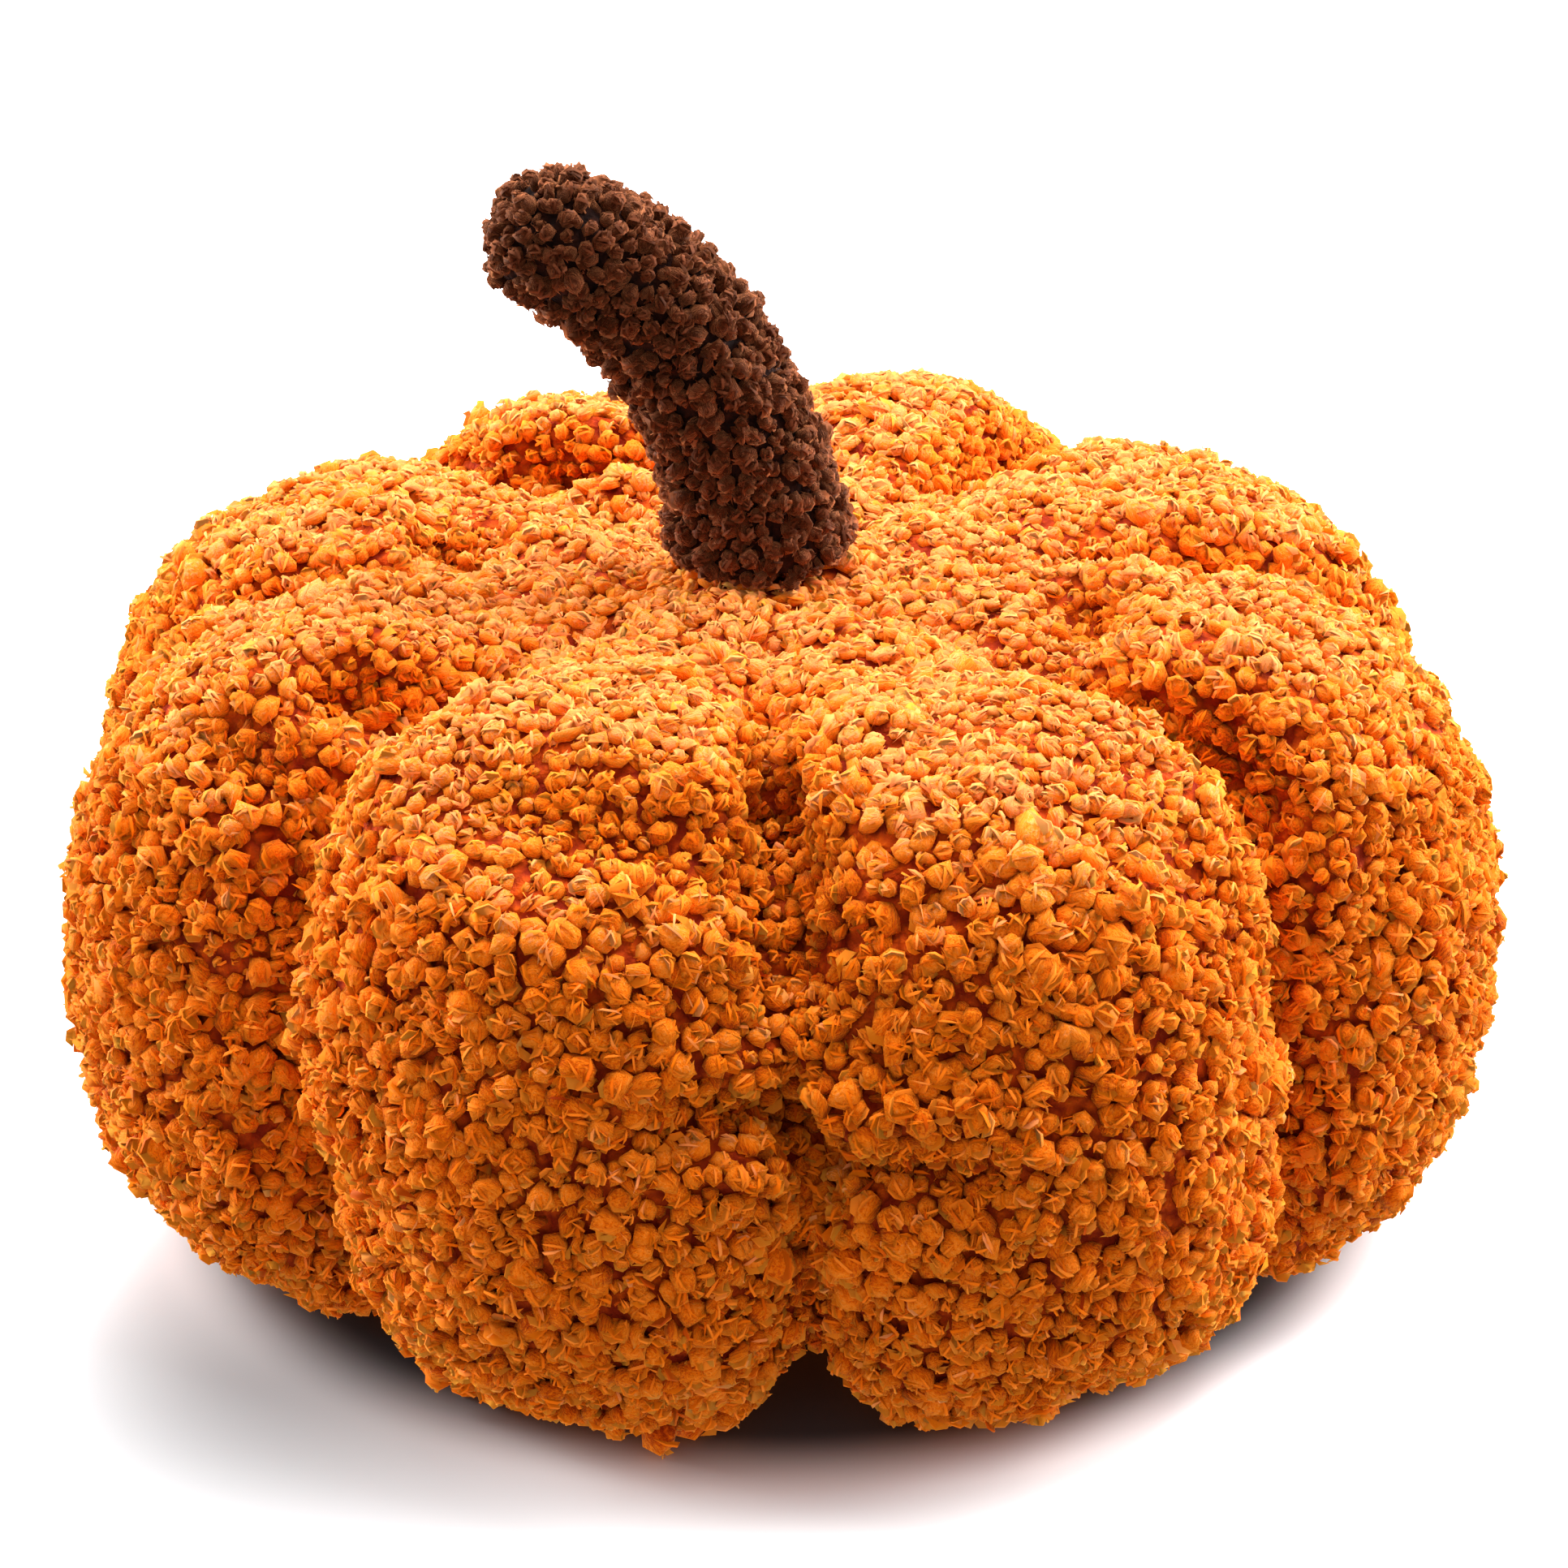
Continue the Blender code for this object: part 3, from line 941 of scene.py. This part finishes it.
# Materials
class Shading:
    """A new material or world's nodes, and the few ways in which they are joined here."""

    def __init__(self, owner):
        owner.use_nodes = True
        self.nodes = owner.node_tree.nodes
        self.links = owner.node_tree.links

    def node(self, kind, values=(), **options):
        """A node with its options, and values or links for some inputs by name or index."""
        node = self.nodes.new(kind)
        for option, value in options.items():
            setattr(node, option, value)
        return self.fill(node, values)

    def fill(self, node, values):
        for key, value in dict(values).items():
            if isinstance(value, bpy.types.NodeSocket):
                self.links.new(value, node.inputs[key])
            else:
                node.inputs[key].default_value = value
        return node

    def math(self, operation, *values):
        return self.node("ShaderNodeMath", enumerate(values), operation=operation).outputs[0]

    def attribute(self, name, output="Fac"):
        return self.node("ShaderNodeAttribute", attribute_name=name).outputs[output]

    def place(self, output="Object"):
        return self.node("ShaderNodeTexCoord").outputs[output]

    def noise(self, vector, scale, detail, roughness=0.5):
        values = {"Vector": vector, "Scale": scale, "Detail": detail, "Roughness": roughness}
        return self.node("ShaderNodeTexNoise", values)

    def mapped(self, value, low_high, to=(0.0, 1.0), smooth=True):
        values = {"Value": value, "From Min": low_high[0], "From Max": low_high[1]}
        values |= {"To Min": to[0], "To Max": to[1]}
        kind = "SMOOTHSTEP" if smooth else "LINEAR"
        return self.node("ShaderNodeMapRange", values, interpolation_type=kind).outputs["Result"]

    def ramp(self, position, stops):
        node = self.node("ShaderNodeValToRGB", {"Fac": position})
        elements = node.color_ramp.elements
        while len(elements) < len(stops):
            elements.new(0.5)
        for element, (at, colour) in zip(elements, stops):
            element.position = at
            element.color = (*colour, 1.0)
        return node.outputs["Color"]

    def bump(self, height, distance):
        values = {"Strength": 1.0, "Distance": distance, "Height": height}
        return self.node("ShaderNodeBump", values).outputs["Normal"]


def new_material(name, make_values):
    material = bpy.data.materials.new(name)
    shading = Shading(material)
    shading.fill(shading.nodes["Principled BSDF"], make_values(shading))
    return material


def pile_material(name, stops, sheen, sheen_tint):
    """Curled fibres with fine streaks along each lock, painted shade at the root and painted light at
    the tip.
    """

    def make_values(shading):
        streaks = shading.noise(shading.attribute("fibre", "Vector"), STREAK_SCALE, 3.0, 0.65)
        patches = shading.noise(shading.place(), PATCH_SCALE, 2.0)
        surface = shading.node("ShaderNodeNewGeometry").outputs["Normal"]
        parts = shading.node("ShaderNodeSeparateXYZ", {"Vector": surface})
        painted_light_from_above = shading.math("MAXIMUM", parts.outputs["Z"], 0.0)
        position = shading.math("MULTIPLY", painted_light_from_above, COLOUR_UP_PAINTED_LIGHT)
        # Painted shade at the roots, painted light and shade in the tone, then the fibres' own
        # streaks and patches
        for value, share in (
            (shading.attribute("tip"), COLOUR_ROOT_PAINTED_SHADE),
            (shading.attribute("tone_and_painted_light"), COLOUR_TONE_AND_PAINTED_LIGHT),
            (streaks.outputs["Fac"], COLOUR_STREAKS),
            (patches.outputs["Fac"], COLOUR_PATCHES),
        ):
            position = shading.math("MULTIPLY_ADD", value, share, position)
        position = shading.math("SUBTRACT", position, COLOUR_START)
        return {
            "Base Color": shading.ramp(position, stops),
            "Normal": shading.bump(streaks.outputs["Fac"], PILE_BUMP),
            "Roughness": 0.6,
            "Diffuse Roughness": 0.6,
            "Specular IOR Level": 0.06,
            "Specular Tint": SPECULAR_TINT,
            "Sheen Weight": sheen,
            "Sheen Roughness": 0.45,
            "Sheen Tint": sheen_tint,
        }

    return new_material(name, make_values)


def ground_material(name, stops, curl_scale, depth):
    """The deepest curls, close to the cloth and seen only in the pile's gaps, darker as painted
    shade.
    """

    def make_values(shading):
        place = shading.place()
        stirred = shading.noise(place, GROUND_STIR_SCALE, 3.0)
        stir = {0: stirred.outputs["Color"], 1: GROUND_STIR, 2: place}
        shifted = shading.node("ShaderNodeVectorMath", stir, operation="MULTIPLY_ADD")
        cell = {"Vector": shifted.outputs[0], "Scale": curl_scale, "Smoothness": GROUND_SMOOTHNESS}
        cells = shading.node("ShaderNodeTexVoronoi", cell, feature="SMOOTH_F1")
        # The tone and the bump fall from the top of each flat curl into the gaps; in the colour it is
        # painted shade
        lifted = shading.math("MULTIPLY", cells.outputs["Distance"], -GROUND_GAP_PAINTED_SHADE)
        height = shading.math("ADD", lifted, 1.0)
        grain = shading.math("MULTIPLY_ADD", stirred.outputs["Fac"], GROUND_GRAIN, height)
        return {
            "Base Color": shading.ramp(shading.math("SUBTRACT", grain, GROUND_START), stops),
            "Normal": shading.bump(grain, depth),
            "Roughness": 0.9,
            "Specular IOR Level": 0.1,
        }

    return new_material(name, make_values)


def floor_values(shading):
    """Pale floor with painted shadows near the object, glowing white away from it as painted light.
    """
    place = shading.place()
    away = shading.node("ShaderNodeVectorMath", {0: place}, operation="LENGTH").outputs["Value"]
    # A painted contact shadow near the object
    pale = shading.mapped(away, PAINTED_SHADOW_FADES)
    painted_contact_tones = shading.ramp(pale, ((0.0, FLOOR_PAINTED_SHADOW), (1.0, FLOOR_AWAY)))
    # A second painted shadow, falling to the front left
    ends = {0: place, 1: PAINTED_SHADOW_PLACE}
    from_painted_shadow = shading.node("ShaderNodeVectorMath", ends, operation="DISTANCE").outputs["Value"]
    painted_shadow_share = shading.mapped(from_painted_shadow, PAINTED_SHADOW_SPREAD, PAINTED_SHADOW_TONE)
    painted_shadow_floor = shading.node("ShaderNodeVectorMath", {0: painted_contact_tones, "Scale": painted_shadow_share}, operation="SCALE")
    return {
        "Base Color": painted_shadow_floor.outputs[0],
        "Roughness": 0.8,
        "Specular IOR Level": 0.1,
        # The floor glows white away from the object, painted light
        "Emission Strength": shading.mapped(away, FLOOR_TURNS_WHITE, FLOOR_PAINTED_GLOW),
        "Emission Color": (1.0, 1.0, 1.0, 1.0),
    }


# Studio
def studio_world():
    """White light from the upper half, and a warm one from below, as a pale floor gives back."""
    world = bpy.data.worlds.new("studio")
    shading = Shading(world)
    parts = shading.node("ShaderNodeSeparateXYZ", {"Vector": shading.place("Generated")})
    height = shading.mapped(parts.outputs["Z"], (-0.5, 0.5), smooth=False)
    light = shading.ramp(height, ((0.0, LIGHT_BELOW), (1.0, LIGHT_ABOVE)))
    shading.fill(shading.nodes["Background"], {"Color": light})
    return world


def add_softbox(box):
    light = bpy.data.lights.new(box.name, "AREA")
    light.shape = "RECTANGLE"
    light.size = box.width
    light.size_y = box.height
    light.energy = box.power
    item = bpy.data.objects.new(box.name, light)
    bpy.context.scene.collection.objects.link(item)
    item.location = box.place
    item.rotation_euler = (LIT_POINT - Vector(box.place)).to_track_quat("-Z", "Y").to_euler()


def make_studio():
    bpy.ops.mesh.primitive_plane_add(size=FLOOR_SIZE)
    floor = bpy.context.object
    floor.name = "studio_floor"
    floor.data.materials.append(new_material("pale_floor", floor_values))
    floor.visible_diffuse = False
    bpy.context.scene.world = studio_world()
    for box in SOFTBOXES:
        add_softbox(box)
    settings = bpy.context.scene.view_settings
    settings.view_transform = "Standard"
    settings.look = "None"


def main():
    make_camera()
    body = make_body_cloth()
    stem = make_stem_cloth()
    orange = pile_material("orange_curls", ORANGE_STOPS, ORANGE_SHEEN, ORANGE_SHEEN_TINT)
    brown = pile_material("brown_curls", BROWN_STOPS, BROWN_SHEEN, BROWN_SHEEN_TINT)
    orange_ground = ground_material("orange_ground", ORANGE_GROUND_STOPS, *ORANGE_GROUND_CURLS)
    brown_ground = ground_material("brown_ground", BROWN_GROUND_STOPS, *BROWN_GROUND_CURLS)
    body.data.materials.append(orange_ground)
    stem.data.materials.append(brown_ground)
    body_piles = dress_body(body, orange)
    stem_pile = dress_stem(stem, brown)
    for piece in (body, *body_piles):
        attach(piece, "root")
    for piece in (stem, stem_pile):
        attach(piece, "root")
    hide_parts("pumpkin_body")
    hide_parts("stem")
    make_studio()


main()
